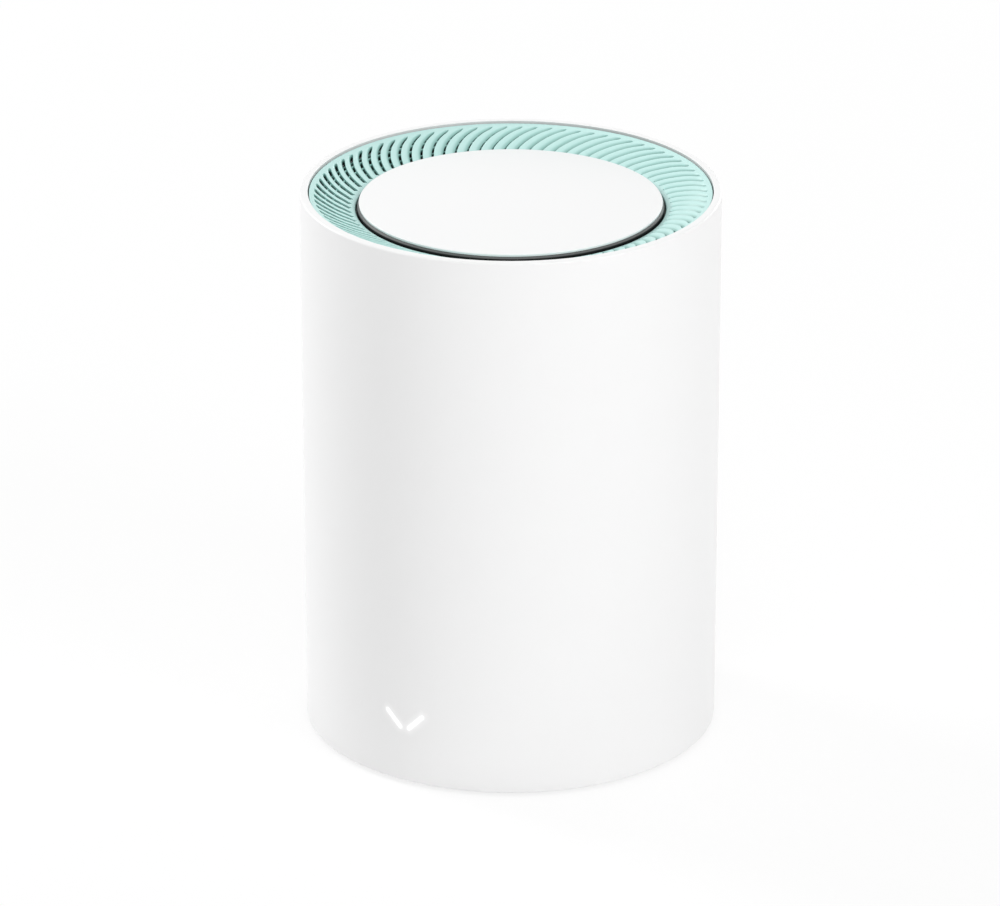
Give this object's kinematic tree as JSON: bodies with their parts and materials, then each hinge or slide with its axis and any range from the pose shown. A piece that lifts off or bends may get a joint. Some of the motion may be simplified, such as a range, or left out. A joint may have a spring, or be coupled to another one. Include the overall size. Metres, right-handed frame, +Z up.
{
  "type": "mesh wifi node",
  "caption": "Upright white cylinder on rubber feet, with a dished ring of curved air vanes round a plain cap on top and a recessed panel of network and power sockets at the rear.",
  "frame": {"origin": "on the table, under the middle of the housing", "axes": "+Z up along the housing's axis; -Y is the front, where the status light shows; +Y is the rear, where the sockets are"},
  "size_m": [0.104, 0.104, 0.141],
  "materials": {
    "white_shell": "satin",
    "mint_plastic": "satin",
    "dark_gloss": "polished",
    "black_plastic": "fine texture",
    "foot_rubber": "matte",
    "plated_steel": "plated",
    "aluminium": "as extruded",
    "gold_plating": "plated",
    "natural_plastic": "as moulded",
    "circuit_board": "lacquered",
    "thermal_pad": "soft",
    "clear_plastic": "clear",
    "led_body": "matte",
    "cable_jacket": "smooth"
  },
  "bodies": {
    "housing": {"outer_shell": "white_shell", "top_cap": "white_shell", "top_grille": "mint_plastic", "cap_trim_ring": "dark_gloss", "inner_frame": "black_plastic", "base_cover": "black_plastic", "port_panel": "black_plastic", "wan_jack_housing": "black_plastic", "lan_jack_housing": "black_plastic", "dc_jack_housing": "black_plastic", "tact_switch_body": "black_plastic", "soc_chip": "black_plastic", "memory_chip": "black_plastic", "flash_chip": "black_plastic", "power_inductor": "black_plastic", "lan_transformer_1": "black_plastic", "lan_transformer_2": "black_plastic", "foot_1": "foot_rubber", "foot_2": "foot_rubber", "foot_3": "foot_rubber", "foot_4": "foot_rubber", "base_screw_1": "plated_steel", "base_screw_2": "plated_steel", "base_screw_3": "plated_steel", "base_screw_4": "plated_steel", "grille_screw_1": "plated_steel", "grille_screw_2": "plated_steel", "grille_screw_3": "plated_steel", "heatsink_screw_1": "plated_steel", "heatsink_screw_2": "plated_steel", "wifi_shield_can_1": "plated_steel", "wifi_shield_can_2": "plated_steel", "dc_jack_pin": "plated_steel", "heatsink": "aluminium", "capacitor_1": "aluminium", "capacitor_2": "aluminium", "wan_contact_insert": "gold_plating", "lan_contact_insert": "gold_plating", "light_shroud": "natural_plastic", "main_board": "circuit_board", "light_board": "circuit_board", "antenna_1": "circuit_board", "antenna_2": "circuit_board", "antenna_3": "circuit_board", "antenna_4": "circuit_board", "thermal_pad": "thermal_pad", "light_guide_left": "clear_plastic", "light_guide_right": "clear_plastic", "status_led_1": "led_body", "status_led_2": "led_body", "antenna_cable_1": "cable_jacket", "antenna_cable_2": "cable_jacket", "antenna_cable_3": "cable_jacket", "antenna_cable_4": "cable_jacket", "light_cable": "cable_jacket"},
    "button": {"mesh_button": "black_plastic"},
    "switch_plunger": {"tact_switch_plunger": "natural_plastic"}
  },
  "joints": [
    {"name": "button_press", "type": "slide", "parent": "housing", "child": "button", "axis": [0, -1, 0], "range_m": [0, 0.0005], "stiffness_N_per_m": 3000},
    {"name": "plunger_press", "type": "slide", "parent": "housing", "child": "switch_plunger", "axis": [0, -1, 0], "range_m": [0, 0.0005]}
  ],
  "couplings": [
    {"joint": "plunger_press", "follows": "button_press", "ratio": 1}
  ]
}
